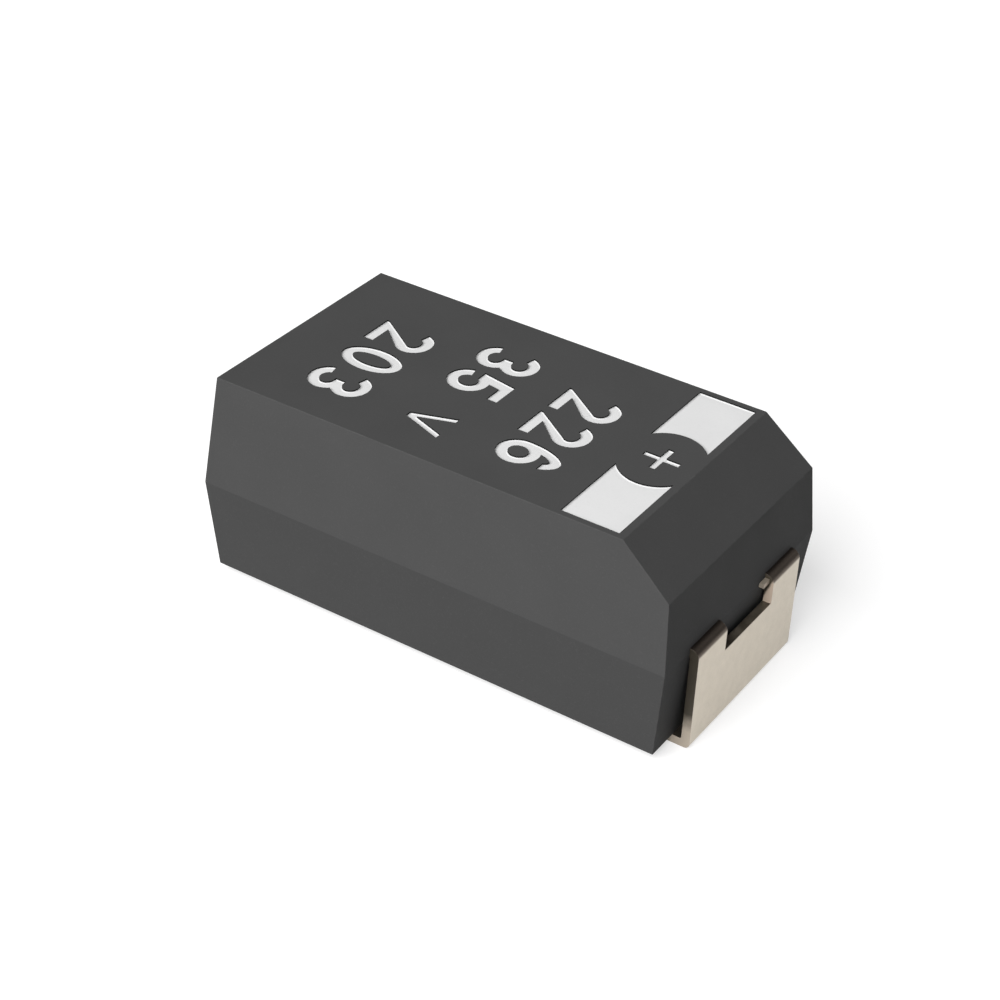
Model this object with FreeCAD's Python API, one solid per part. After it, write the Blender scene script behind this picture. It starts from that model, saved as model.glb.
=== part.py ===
import FreeCAD, Part
import math
import os

os.makedirs("parts", exist_ok=True)

# Moulded-case tantalum capacitor, in millimetres. Z is up and 0 on the board, under the terminals.
# X runs along the case towards its anode end, which has the bevel and the stripe. Y runs across it.

# Moulded case
case_length = 5.80  # at the parting line
case_width = 3.20  # at the parting line
case_height = 2.41
parting_height = 1.10  # parting line above the case's underside
draft_angle = 5.0  # degrees, above and below the parting line
bevel_run = 0.59  # polarity bevel, along the case
bevel_drop = 0.50  # polarity bevel, down the anode end

# Terminals, folded from one strip that leaves the case in its parting plane
strip_thickness = 0.10
strip_width = 2.20
leg_gap = 0.005  # between the parting line at the case's end and the leg
top_bend_radius = 0.10  # outer
bottom_bend_radius = 0.06  # outer
inner_bend_radius = 0.02
foot_length = 1.30  # from the leg's outer face
cutout_width = 1.00
cutout_floor = 0.91  # height of the cut-out's lower edge above the board
window_depth = 0.25  # how far the cut-out reaches into the case
stub_length = 0.055  # of the strip's small stub in the anode's cut-out, out of the case's end
stub_width = 0.125
stub_root = 0.10  # of the stub, inside the case
stub_height = 0.05

# Walls of epoxy around what the case holds
roof_wall = 0.35
floor_wall = 0.40
side_wall = 0.40  # at the parting line
cathode_wall = 0.44  # outside the cathode strip's riser, at the parting line
anode_room = 1.65  # from the pellet's anode face to the parting line at that end

# Anode strip inside the case
bridge_width = 0.35  # across the strip, between the cut-out and the tongue
tongue_width = 0.90
tongue_gap = 0.30  # from the washer to the tongue

# Pellet, wire and washer
wire_diameter = 0.30
wire_embedded = 2.40  # length inside the pellet
wire_setback = 0.15  # from the wire's end to the cut-out
pellet_chamfer = 0.10
washer_diameter = 0.90
washer_thickness = 0.15
weld_length = 0.50
weld_width = 0.34
weld_height = 0.06

# Coats over the pellet, from the inside out, and the conductive glue on the cathode strip
polymer_thickness = 0.03
carbon_thickness = 0.015
silver_thickness = 0.03
carbon_setback = 0.15  # from the pellet's anode face
silver_setback = 0.25
adhesive_thickness = 0.04
adhesive_width = 1.80
plate_setback = 0.81  # from the pellet's anode face to the end of the cathode strip's plate
plate_overhang = 0.20  # of the cathode strip's plate past the glue
adhesive_rise = 0.55  # of the glue up the riser, above the plate

# White marks, set in shallow recesses in the top
mark_recess = 0.025  # from the top down to the white
mark_thickness = 0.02
stripe_length = 0.66  # along the case
stripe_end_gap = 0.093  # from the stripe to the bevel
stripe_side_gap = 0.085
gap_length = 0.91  # of the oval gap in the stripe, along the case
gap_width = 1.05  # of the oval gap, across the case
plus_size = 0.42
plus_stroke = 0.065

digit_height = 0.74
digit_width = 0.46
digit_pitch = 0.58
digit_stroke = 0.115
small_bowl = 0.43  # outer height of a bowl in the digits 2 and 3
large_bowl = 0.48  # outer height of the bowl in the digits 5 and 6
waist_bar = 0.035  # of the digit 3, left of its bowls' middle
neck_foot = 0.165  # where the neck of the digit 2 meets its base
neck_heel = 0.03
stem_lean = 0.075  # of the digit 5
flag_right = 0.44  # right end of the digit 5's top bar
six_lip = 0.565  # height of the open end of the digit 6
unit_height = 0.50
unit_width = 0.44
unit_stroke = 0.065

rows_top_share = 0.207  # of the length that the rows leave free: from the stripe to the first row
rows_end_share = 0.346  # and from the last row to the top's cathode edge
code_left = 0.63  # Y where the first and last rows start
rating_left = 0.915  # Y where the middle row starts
unit_left = -0.62  # Y where the unit letter starts
unit_rise = 0.125  # of the unit letter above its row's base line

capacitance_digits = "226"
rating_digits = "35"
lot_digits = "203"

# Angles in degrees where the open bowls of the digits end, counted from the right
upper_lip = 168
lower_lip = -168
two_neck = -38
five_shoulder = 138
full_turn = 360
fan_step = 20

# Levels and stations worked out from the sizes above
case_bottom = strip_thickness
case_top = case_bottom + case_height
parting_z = case_bottom + parting_height
strip_top = parting_z + strip_thickness / 2
strip_bottom = parting_z - strip_thickness / 2
half_length = case_length / 2
half_width = case_width / 2
draft = math.tan(math.radians(draft_angle))
leg_inner = half_length + leg_gap
leg_outer = leg_inner + strip_thickness
foot_end = leg_outer - foot_length
window_start = half_length - window_depth
tongue_root = window_start - bridge_width

top_inset = (case_top - parting_z) * draft
top_half_width = half_width - top_inset
bevel_foot_z = case_top - bevel_drop
bevel_foot_x = half_length - (bevel_foot_z - parting_z) * draft
bevel_top_x = bevel_foot_x - bevel_run

coats = polymer_thickness + carbon_thickness + silver_thickness
riser_outer = -half_length + cathode_wall
riser_inner = riser_outer + strip_thickness
plate_bottom = case_bottom + floor_wall
plate_top = plate_bottom + strip_thickness
pellet_bottom = plate_top + adhesive_thickness + coats
pellet_top = case_top - roof_wall - coats
pellet_back = riser_inner + adhesive_thickness + coats
anode_face = half_length - anode_room
pellet_half_width = half_width - side_wall - coats
plate_end = anode_face - plate_setback
adhesive_end = plate_end - plate_overhang

wire_axis = strip_top + wire_diameter / 2
wire_end = window_start - wire_setback
washer_face = anode_face + washer_thickness
tongue_end = washer_face + tongue_gap
weld_centre = (tongue_end + wire_end) / 2

stripe_front = bevel_top_x - stripe_end_gap
stripe_back = stripe_front - stripe_length
stripe_centre = (stripe_front + stripe_back) / 2
stripe_half_width = top_half_width - stripe_side_gap
top_end = -half_length + top_inset
free_length = stripe_back - top_end - 3 * digit_height
first_row = stripe_back - rows_top_share * free_length - digit_height
last_row = top_end + rows_end_share * free_length
middle_row = (first_row + last_row) / 2
mark_floor = case_top - mark_recess - mark_thickness

V = FreeCAD.Vector
X_AXIS = V(1, 0, 0)
Y_AXIS = V(0, 1, 0)
Z_AXIS = V(0, 0, 1)
ORIGIN = V(0, 0, 0)


def box(low, high):
    """A box between two opposite corners."""
    size = V(*high) - V(*low)
    return Part.makeBox(size.x, size.y, size.z, V(*low))


def cylinder_along_x(radius, start, end, height):
    """A round bar on the case's centre line, from one X to the next."""
    return Part.makeCylinder(radius, end - start, V(start, 0, height), X_AXIS)


def joined(shapes):
    """One solid from overlapping or touching ones, with no seams between flush faces."""
    first, rest = shapes[0], shapes[1:]
    return first.fuse(rest).removeSplitter() if rest else first


def tangent_points(before, corner, after, radius):
    """Where a rounding of a corner starts, its middle, and where it ends."""
    back = (before - corner).normalize()
    ahead = (after - corner).normalize()
    half_angle = back.getAngle(ahead) / 2
    reach = radius / math.tan(half_angle)
    bisector = (back + ahead).normalize()
    middle = corner + bisector * (radius / math.sin(half_angle) - radius)
    return corner + back * reach, middle, corner + ahead * reach


def side_outline(corners):
    """A face in the XZ plane, from (x, z, rounding radius) corners."""
    points = [V(x, 0, z) for x, z, radius in corners]
    edges = []
    starts = []
    ends = []
    for i, (x, z, radius) in enumerate(corners):
        if radius == 0:
            starts.append(points[i])
            ends.append(points[i])
            continue
        after = points[(i + 1) % len(points)]
        start, middle, end = tangent_points(points[i - 1], points[i], after, radius)
        edges.append(Part.Arc(start, middle, end).toShape())
        starts.append(start)
        ends.append(end)
    for i, end in enumerate(ends):
        edges.append(Part.makeLine(end, starts[(i + 1) % len(starts)]))
    return Part.Face(Part.Wire(Part.sortEdges(edges)[0]))


def strip_from(corners):
    """A folded strip, as wide as both terminals, from its side outline."""
    face = side_outline(corners)
    face.translate(V(0, -strip_width / 2, 0))
    return face.extrude(Y_AXIS * strip_width)


def leg_corners(side):
    """The corners that both terminals share, from the top bend to the underside of the strip.

    side is 1 at the anode end and -1 at the cathode end.
    """
    return [
        (side * leg_outer, strip_top, top_bend_radius),
        (side * leg_outer, 0, bottom_bend_radius),
        (side * foot_end, 0, 0),
        (side * foot_end, strip_thickness, 0),
        (side * leg_inner, strip_thickness, inner_bend_radius),
        (side * leg_inner, strip_bottom, inner_bend_radius),
    ]


def cutout(side):
    """What is cut from a terminal: its window from inside the case, over the bend and down the leg."""
    far = leg_outer + strip_thickness
    low, high = sorted((side * window_start, side * far))
    return box((low, -cutout_width / 2, cutout_floor), (high, cutout_width / 2, strip_top + strip_thickness))


def anode_terminal():
    """The strip at the anode end: foot, leg, cut-out, bridge, and the tongue that the wire is welded to."""
    strip = strip_from([(tongue_end, strip_top, 0)] + leg_corners(1) + [(tongue_end, strip_bottom, 0)])
    for side in (1, -1):
        near, far = sorted((side * tongue_width / 2, side * strip_width))
        strip = strip.cut(box((tongue_end, near, strip_bottom), (tongue_root, far, strip_top)))
    strip = strip.cut(cutout(1))
    stub = box(
        (half_length - stub_root, cutout_width / 2 - stub_width, strip_bottom),
        (half_length + stub_length, cutout_width / 2, strip_bottom + stub_height),
    )
    return joined([strip, stub])


def cathode_terminal():
    """The strip at the cathode end: foot, leg, cut-out, and the riser and plate that hold the pellet."""
    outer_fold = strip_thickness + inner_bend_radius
    inside = [
        (riser_outer, strip_bottom, inner_bend_radius),
        (riser_outer, plate_bottom, outer_fold),
        (plate_end, plate_bottom, 0),
        (plate_end, plate_top, 0),
        (riser_inner, plate_top, inner_bend_radius),
        (riser_inner, strip_top, outer_fold),
    ]
    return strip_from(leg_corners(-1) + inside).cut(cutout(-1))


def pellet_form(growth, front):
    """The pellet's block, grown on all sides but its anode face, with its long edges chamfered."""
    half = pellet_half_width + growth
    low = pellet_bottom - growth
    high = pellet_top + growth
    chamfer = pellet_chamfer + growth * (2 - math.sqrt(2))
    back = pellet_back - growth
    section = [
        (half, low + chamfer),
        (half, high - chamfer),
        (half - chamfer, high),
        (chamfer - half, high),
        (-half, high - chamfer),
        (-half, low + chamfer),
        (chamfer - half, low),
        (half - chamfer, low),
    ]
    outline = Part.makePolygon([V(back, y, z) for y, z in section + section[:1]])
    return Part.Face(outline).extrude(X_AXIS * (front - back))


def tantalum_wire():
    """The lead wire, from deep in the pellet to just short of the anode strip's cut-out."""
    return cylinder_along_x(wire_diameter / 2, anode_face - wire_embedded, wire_end, wire_axis)


def tantalum_pellet(wire):
    """The sintered block, with the wire pressed into it."""
    return pellet_form(0, anode_face).cut(wire)


def coat(inner_growth, thickness, setback):
    """A coat over the pellet's four sides and back, open towards the anode."""
    outer = pellet_form(inner_growth + thickness, anode_face - setback)
    return outer.cut(pellet_form(inner_growth, anode_face))


def sealing_washer(wire):
    """The ring on the wire that keeps the coats off it."""
    disc = cylinder_along_x(washer_diameter / 2, anode_face, washer_face, wire_axis)
    return disc.cut(wire)


def wire_weld(wire):
    """The weld bead under and beside the wire, on the tongue."""
    plan = ellipse_face(weld_centre, 0, weld_length / 2, weld_width / 2)
    plan.translate(Z_AXIS * strip_top)
    return plan.extrude(Z_AXIS * weld_height).cut(wire)


def silver_adhesive(strip):
    """The conductive glue under the pellet and up the riser behind it."""
    pad = box(
        (riser_inner, -adhesive_width / 2, plate_top),
        (adhesive_end, adhesive_width / 2, plate_top + adhesive_rise),
    )
    return pad.cut(pellet_form(coats, anode_face)).cut(strip)


def ellipse_face(centre_x, centre_y, radius_x, radius_y):
    """A flat ellipse at Z 0 whose axes lie along X and Y."""
    centre = V(centre_x, centre_y, 0)
    along_x = centre + X_AXIS * radius_x
    along_y = centre + Y_AXIS * radius_y
    long_tip, short_tip = (along_x, along_y) if radius_x > radius_y else (along_y, along_x)
    return Part.Face(Part.Wire(Part.Ellipse(long_tip, short_tip, centre).toShape()))


def polygon_face(points):
    """A flat polygon at Z 0."""
    return Part.Face(Part.makePolygon([V(x, y, 0) for x, y in points + points[:1]]))


def bar_face(left, bottom, right, top):
    """A flat upright rectangle at Z 0."""
    return polygon_face([(left, bottom), (right, bottom), (right, top), (left, top)])


def bowl_point(base, height, degrees, inset):
    """The point of a bowl's edge at an angle, inset from its outer edge."""
    angle = math.radians(degrees)
    centre_x = digit_width / 2
    centre_y = base + height / 2
    return (
        centre_x + (centre_x - inset) * math.cos(angle),
        centre_y + (height / 2 - inset) * math.sin(angle),
    )


def bowl(base, height, start, end):
    """A digit's round stroke: a ring as wide as the digit, kept between two angles."""
    centre_x = digit_width / 2
    centre_y = base + height / 2
    ring = ellipse_face(centre_x, centre_y, centre_x, height / 2)
    ring = ring.cut(ellipse_face(centre_x, centre_y, centre_x - digit_stroke, height / 2 - digit_stroke))
    if end - start == full_turn:
        return ring
    steps = math.ceil((end - start) / fan_step)
    angles = [start + (end - start) * i / steps for i in range(steps + 1)]
    rim = [bowl_point(base, height, angle, -digit_height) for angle in angles]
    return ring.common(polygon_face([(centre_x, centre_y)] + rim))


def digit_zero():
    """One tall ring."""
    return [bowl(0, digit_height, 0, full_turn)]


def digit_two():
    """A bowl open on the left, a slanting neck and a flat base."""
    base = digit_height - small_bowl
    neck = [
        bowl_point(base, small_bowl, two_neck, digit_stroke),
        bowl_point(base, small_bowl, two_neck, 0),
        (neck_foot, digit_stroke),
        (neck_foot, 0),
        (0, 0),
        (0, neck_heel),
    ]
    return [
        bowl(base, small_bowl, two_neck, upper_lip),
        polygon_face(neck),
        bar_face(neck_foot / 2, 0, digit_width, digit_stroke),
    ]


def digit_three():
    upper = digit_height - small_bowl + digit_stroke
    middle = digit_width / 2
    return [
        bowl(digit_height - upper, upper, -90, upper_lip),
        bowl(0, small_bowl, lower_lip, 90),
        bar_face(middle - waist_bar, small_bowl - digit_stroke, middle, small_bowl),
    ]


def digit_five():
    """A flag, a leaning stem and a bowl open on the left."""
    shoulder = bowl_point(0, large_bowl, five_shoulder, digit_stroke)
    stem = [
        (stem_lean, digit_height),
        (0, shoulder[1]),
        (shoulder[0], shoulder[1]),
        (stem_lean + digit_stroke, digit_height - digit_stroke),
        (stem_lean + digit_stroke, digit_height),
    ]
    return [
        bar_face(stem_lean, digit_height - digit_stroke, flag_right, digit_height),
        polygon_face(stem),
        bowl(0, large_bowl, lower_lip, five_shoulder),
    ]


def digit_six():
    """A closed bowl, with an arch from its left side over to a lip on the right."""
    below_arch = 2 * digit_height - large_bowl
    arch = bowl(large_bowl - digit_height, below_arch, 0, full_turn / 2)
    opening = bar_face(digit_width / 2, 0, digit_width, six_lip)
    return [bowl(0, large_bowl, 0, full_turn), arch.cut(opening)]


def unit_letter():
    """The letter that stands for volts: two strokes that meet at the base."""
    middle = unit_width / 2
    fall = math.hypot(middle, unit_height) / unit_height
    slanted = unit_stroke * fall
    apex = unit_height * (1 - (middle - slanted) / (middle - slanted / 2))
    return [
        polygon_face(
            [
                (0, unit_height),
                (middle - slanted / 2, 0),
                (middle + slanted / 2, 0),
                (unit_width, unit_height),
                (unit_width - slanted, unit_height),
                (middle, apex),
                (slanted, unit_height),
            ]
        )
    ]


def plus_faces():
    """The sign of the anode end, around its own centre."""
    half = plus_size / 2
    return [
        bar_face(-half, -plus_stroke / 2, half, plus_stroke / 2),
        bar_face(-plus_stroke / 2, -half, plus_stroke / 2, half),
    ]


DIGITS = {"0": digit_zero, "2": digit_two, "3": digit_three, "5": digit_five, "6": digit_six}


def mark(faces, base, left):
    """A mark from faces drawn upright, laid on the top so that it reads from the case's long side.

    Its base line is at X = base and it starts at Y = left. It is as deep as recess and white together.
    """
    depth = mark_recess + mark_thickness
    solid = joined([face.extrude(Z_AXIS * depth) for face in faces])
    solid.rotate(ORIGIN, Z_AXIS, -90)
    solid.translate(V(base, left, mark_floor))
    return solid


def digit_row(digits, base, left):
    """A row of digits, one solid each."""
    return [mark(DIGITS[digit](), base, left - i * digit_pitch) for i, digit in enumerate(digits)]


def stripe_fields():
    """The two halves of the polarity stripe, on both sides of the oval gap."""
    gap = ellipse_face(stripe_centre, 0, gap_length / 2, gap_width / 2).extrude(Z_AXIS * case_top)
    fields = []
    for side in (1, -1):
        low, high = sorted((0, side * stripe_half_width))
        fields.append(box((stripe_back, low, mark_floor), (stripe_front, high, case_top)).cut(gap))
    return fields


def marks():
    """Every white mark, as the full depth of its recess, by the name of its node."""
    unit = mark(unit_letter(), middle_row + unit_rise, unit_left)
    return {
        "polarity_stripe": stripe_fields(),
        "plus_sign": [mark(plus_faces(), stripe_centre, 0)],
        "capacitance_code": digit_row(capacitance_digits, first_row, code_left),
        "rated_voltage": digit_row(rating_digits, middle_row, rating_left) + [unit],
        "lot_number": digit_row(lot_digits, last_row, code_left),
    }


def white_of(solids):
    """The white on the floor of each recess, without the empty space above it."""
    white_top = mark_floor + mark_thickness
    layer = box((-case_length, -case_width, mark_floor), (case_length, case_width, white_top))
    return Part.makeCompound([solid.common(layer).Solids[0] for solid in solids])


def case_block():
    """The case's outer form: two drafted halves that meet at the parting line, less the bevel."""
    rings = []
    for level in (case_bottom, parting_z, case_top):
        inset = abs(level - parting_z) * draft
        x = half_length - inset
        y = half_width - inset
        corners = [V(x, y, level), V(-x, y, level), V(-x, -y, level), V(x, -y, level)]
        rings.append(Part.makePolygon(corners + corners[:1]))
    lower = Part.makeLoft(rings[:2], True, True)
    upper = Part.makeLoft(rings[1:], True, True)
    beyond = half_length + bevel_run
    drop_beyond = (beyond - bevel_top_x) * bevel_drop / bevel_run
    wedge = side_outline(
        [
            (bevel_top_x, case_top, 0),
            (beyond, case_top - drop_beyond, 0),
            (beyond, case_top + bevel_drop, 0),
            (bevel_top_x, case_top + bevel_drop, 0),
        ]
    )
    wedge.translate(V(0, -case_width, 0))
    return joined([lower, upper]).cut(wedge.extrude(Y_AXIS * 2 * case_width))


def moulded_case(held, recesses):
    """The epoxy, moulded round everything that it holds, with the recesses of the marks in its top."""
    return case_block().cut(held).cut(recesses).removeSplitter()


def capacitor():
    """Every piece by the name of its node."""
    wire = tantalum_wire()
    cathode = cathode_terminal()
    pieces = {
        "anode_terminal": anode_terminal(),
        "cathode_terminal": cathode,
        "tantalum_wire": wire,
        "tantalum_pellet": tantalum_pellet(wire),
        "sealing_washer": sealing_washer(wire),
        "wire_weld": wire_weld(wire),
        "polymer_layer": coat(0, polymer_thickness, 0),
        "carbon_layer": coat(polymer_thickness, carbon_thickness, carbon_setback),
        "silver_layer": coat(polymer_thickness + carbon_thickness, silver_thickness, silver_setback),
        "silver_adhesive": silver_adhesive(cathode),
    }
    recesses = marks()
    flat_recesses = [solid for solids in recesses.values() for solid in solids]
    pieces["case"] = moulded_case(list(pieces.values()), flat_recesses)
    for name, solids in recesses.items():
        pieces[name] = white_of(solids)
    return pieces


for node, shape in capacitor().items():
    shape.exportStep(f"parts/{node}.step")
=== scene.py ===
"""Looks of a moulded-case tantalum capacitor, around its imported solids.

Shapes are drawn in millimetres, and a finished one is turned into metres. X runs along the case towards
its anode end, which has the bevel and the stripe. Y runs across the case and Z up from the board.
"""
import math

import bmesh
import bpy
from mathutils import Matrix, Vector


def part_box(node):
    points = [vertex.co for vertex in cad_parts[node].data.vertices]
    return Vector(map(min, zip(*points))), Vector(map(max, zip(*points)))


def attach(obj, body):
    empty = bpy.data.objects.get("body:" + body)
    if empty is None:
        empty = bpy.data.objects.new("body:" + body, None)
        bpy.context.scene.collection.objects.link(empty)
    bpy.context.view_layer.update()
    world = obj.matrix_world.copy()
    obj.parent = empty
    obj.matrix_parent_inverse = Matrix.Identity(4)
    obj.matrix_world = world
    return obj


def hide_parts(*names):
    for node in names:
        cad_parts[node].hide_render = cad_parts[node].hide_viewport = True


MILLIMETRE = 0.001
TOUCH = 0.0001  # points nearer than this are one point
SEAM = 0.00001  # the same along the seams of a raised face
ON_PLANE = 0.001  # a point nearer than this to a plane is on it
FULL_TURN = 360
ARC_STEP = 5  # degrees between the points of a round stroke
ONE_FACE = math.radians(1)  # faces that meet at less than this are one face
EDGE_STEPS = 3  # faces across a rounded edge

# Case
CASE_ROUNDING = 0.008  # of the moulding's outer edges
CASE_ONE_FACE = math.radians(0.5)
MOULDED_EDGE = math.radians(20)  # flatter edges than this stay as crisp as the parting line
SMOOTH_LIMIT = math.radians(32)  # the sharpest bend that is shaded as round
EPOXY_TONES = (0.062, 0.062, 0.062), (0.066, 0.066, 0.066)
# Painted shade: the case below the parting line is coloured darker
SHADED_LOWER_HALF_TONE = (0.058, 0.058, 0.058)
SILICA_TONE = (0.10, 0.10, 0.099)
WORN_TONE = (0.080, 0.080, 0.079)
# Painted shade: the walls of the mark recesses are coloured near black
RECESS_WALL_SHADE_TONE = (0.016, 0.016, 0.016)

# Terminals
STRIP_THICKNESS = 0.10
LEG_GAP = 0.005  # between the leg and the case's end at the parting line
TOP_BEND = 0.10  # outer radius
BOTTOM_BEND = 0.06  # outer radius
INNER_BEND = 0.02
BEND_STEPS = 14
FOOT_LENGTH = 1.30
CUTOUT_WIDTH = 1.00
CUTOUT_FLOOR = 0.91
WINDOW_DEPTH = 0.25
BRIDGE_WIDTH = 0.35
TONGUE_WIDTH = 0.90
RISER_INSET = 0.44  # of the cathode strip's riser, from the parting line
PLATE_LEVEL = 0.40  # of the cathode strip's plate, above the case's underside
STUB_LENGTH = 0.055
STUB_WIDTH = 0.125
STUB_ROOT = 0.10
STUB_HEIGHT = 0.05
STRIP_ROUNDING = 0.004  # of the stamped edges
STAMPED_EDGE = math.radians(60)  # sharper edges than this are stamped
SIDE_FACING = 0.2  # how far a sheared face looks sideways at least
TIN_TONES = (0.515, 0.462, 0.382), (0.565, 0.508, 0.422)
TIN_RUBBED_TONE = (0.58, 0.52, 0.44)
# Painted dark reflection on the top bend, coloured into the tin
BEND_REFLECTION_TONE = (0.115, 0.092, 0.074)
BEND_REFLECTION_DEPTH = 0.72  # of the bend's radius below its top, where the painted dark reflection is full
SHEARED_TONE = (0.46, 0.395, 0.32)
PUNCHED_TONE = (0.62, 0.50, 0.40)
SHEARED_METAL = 0.4  # how metallic a sheared face looks
# Painted shade and dark reflection, coloured into the sheared faces above a set height
SHEARED_SHADE_TONE = (0.062, 0.052, 0.037)
LEG_SHADE_START = 0.22  # the height where the painted shade on the strip's sides starts
INNER_SHADE_START = 0.93  # the same for the side walls of the cut-out, next to the case
OUTER_SHADE_START = 1.19  # and at the leg's outer face
FLOOR_SHADE_START = 0.72  # and for the floor of the cut-out
SHADE_FADE = 0.22
PUNCHED_SHADE_FADE = 0.06  # of the painted shade on the walls of the cut-out

# White marks
MARKING_TONES = (0.69, 0.69, 0.69), (0.72, 0.72, 0.72)
PIT_TONE = (0.55, 0.55, 0.55)
MARK_RECESS = 0.025
MARK_THICKNESS = 0.02
RIM_WIDTH = 0.011  # of the slope where the marking climbs the recess's walls
RIM_RISE = 0.007
STRIPE_SPREAD = 0.008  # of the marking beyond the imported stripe
STRIPE_GAP_LENGTH = 0.91
STRIPE_GAP_WIDTH = 1.05
PLUS_STROKE = 0.072
DIGIT_HEIGHT = 0.74
DIGIT_WIDTH = 0.46
DIGIT_PITCH = 0.58
DIGIT_STROKE = 0.128
SMALL_BOWL = 0.43
LARGE_BOWL = 0.48
WAIST_BAR = 0.035
NECK_FOOT = 0.165
NECK_HEEL = 0.03
STEM_LEAN = 0.075
FLAG_RIGHT = 0.44
SIX_LIP = 0.565
UNIT_HEIGHT = 0.50
UNIT_WIDTH = 0.44
UNIT_STROKE = 0.072
UNIT_RISE = 0.125
RATING_SHIFT = 0.285  # how much nearer to the far side the middle row starts
UPPER_LIP = 168  # degrees, as the next ones
LOWER_LIP = -168
TWO_NECK = -38
FIVE_SHOULDER = 138

# Camera, fitted to the photograph. Angles in degrees, lengths in millimetres
CAMERA_PLACE = (10.791, -17.595, 15.049)
CAMERA_AZIMUTH = 31.745
CAMERA_ELEVATION = 33.730
CAMERA_ROLL = 2.952
FOCAL_SHARE = 2.2896  # focal length over the width of the picture
SENSOR = 36.0

# Hidden pieces
GRAIN_SHARE = 0.25  # of the grain in a finish's tone
ROUGHNESS_SPREAD = 0.08

# Light. A radiance of 1 is white
FLOOR_SIZE = 900
SKY = 0.08
KEY = {"azimuth": -8, "elevation": 45, "distance": 200, "size": 165, "radiance": 7.85}
FILL = {"azimuth": 170, "elevation": 12, "distance": 200, "size": 165, "radiance": 0.7}
FLOOR_TONE = 0.50
FLOOR_LIFT = 0.62  # what the camera and reflections see in the floor besides its own tone


def box_mm(packed):
    """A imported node's lowest and highest corner in millimetres."""
    low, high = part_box(packed)
    return low / MILLIMETRE, high / MILLIMETRE


def recess_level():
    """Just below the floors of the recesses that hold the marks."""
    return box_mm("plus_sign")[0].z - TOUCH


def node(tree, kind, inputs=None, **settings):
    """A new node. Its inputs take a value, or the socket that feeds them."""
    made = tree.nodes.new(kind)
    for name, value in settings.items():
        setattr(made, name, value)
    for name, value in (inputs or {}).items():
        socket = made.inputs[name]
        if isinstance(value, bpy.types.NodeSocket):
            tree.links.new(value, socket)
        else:
            socket.default_value = value
    return made


# Materials


def millimetre_coordinates(tree):
    place = node(tree, "ShaderNodeTexCoord").outputs["Object"]
    scaled = node(tree, "ShaderNodeVectorMath", operation="SCALE")
    tree.links.new(place, scaled.inputs[0])
    scaled.inputs["Scale"].default_value = 1 / MILLIMETRE
    return scaled.outputs["Vector"]


def noise(tree, place, per_millimetre, detail=3, roughness=0.5):
    """Soft grain, with about so many grains to the millimetre."""
    inputs = {"Vector": place, "Scale": per_millimetre, "Detail": detail, "Roughness": roughness}
    return node(tree, "ShaderNodeTexNoise", inputs).outputs["Fac"]


def between(tree, value, low, high, start=0.3, end=0.7):
    """The value's range from start to end, spread from low to high."""
    inputs = {"Value": value, "From Min": start, "From Max": end, "To Min": low, "To Max": high}
    return node(tree, "ShaderNodeMapRange", inputs).outputs["Result"]


def tint(tree, factor, first, second):
    inputs = {"Fac": factor, "Color1": (*first, 1), "Color2": (*second, 1)}
    return node(tree, "ShaderNodeMixRGB", inputs).outputs["Color"]


def mixed(tree, factor, color, tone):
    """The color, changed to a plain tone as far as the factor says."""
    inputs = {"Fac": factor, "Color1": color, "Color2": (*tone, 1)}
    return node(tree, "ShaderNodeMixRGB", inputs).outputs["Color"]


def bump(tree, height, depth, below=None):
    """A relief of so many millimetres between the height's 0 and 1."""
    inputs = {"Height": height, "Distance": depth * MILLIMETRE, "Strength": 1.0}
    if below is not None:
        inputs["Normal"] = below
    return node(tree, "ShaderNodeBump", inputs).outputs["Normal"]


def edge_mask(tree):
    """1 on the rounded edges that a shape marks in its attribute, 0 elsewhere."""
    return node(tree, "ShaderNodeAttribute", attribute_name="edge").outputs["Fac"]


def new_material(name):
    material = bpy.data.materials.new(name)
    material.use_nodes = True
    tree = material.node_tree
    return material, tree, tree.nodes["Principled BSDF"]


def connect(tree, shader, color, roughness, normal):
    tree.links.new(color, shader.inputs["Base Color"])
    tree.links.new(roughness, shader.inputs["Roughness"])
    tree.links.new(normal, shader.inputs["Normal"])


def moulded_epoxy(parting_level):
    """Black filled epoxy: fine silica grain, faint flow clouds, a lower half coloured darker as painted
    shade, and worn, paler edges.
    """
    material, tree, shader = new_material("moulded epoxy")
    shader.inputs["Specular IOR Level"].default_value = 0.07
    place = millimetre_coordinates(tree)
    clouds = noise(tree, place, 1.3, 4)
    grain = noise(tree, place, 45, 3, 0.6)
    upper = tint(tree, between(tree, clouds, 0, 1), *EPOXY_TONES)
    # Painted shade: below the parting line the epoxy is coloured darker.
    level = node(tree, "ShaderNodeSeparateXYZ", {"Vector": place}).outputs["Z"]
    below = between(tree, level, 1, 0, parting_level - TOUCH, parting_level + TOUCH)
    body = mixed(tree, below, upper, SHADED_LOWER_HALF_TONE)
    speckled = mixed(tree, between(tree, grain, 0, 0.25, 0.55, 0.8), body, SILICA_TONE)
    worn = between(tree, noise(tree, place, 9, 4), 0, 0.5, 0.45, 0.65)
    wear = node(tree, "ShaderNodeMath", {0: edge_mask(tree), 1: worn}, operation="MULTIPLY").outputs[0]
    rubbed = mixed(tree, wear, speckled, WORN_TONE)
    # Painted shade: the recess walls are coloured near black.
    recess = node(tree, "ShaderNodeAttribute", attribute_name="recess").outputs["Fac"]
    color = mixed(tree, recess, rubbed, RECESS_WALL_SHADE_TONE)
    roughness = between(tree, clouds, 0.60, 0.70)
    normal = bump(tree, grain, 0.0010, bump(tree, noise(tree, place, 5, 3), 0.002))
    connect(tree, shader, color, roughness, normal)
    return material


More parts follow.
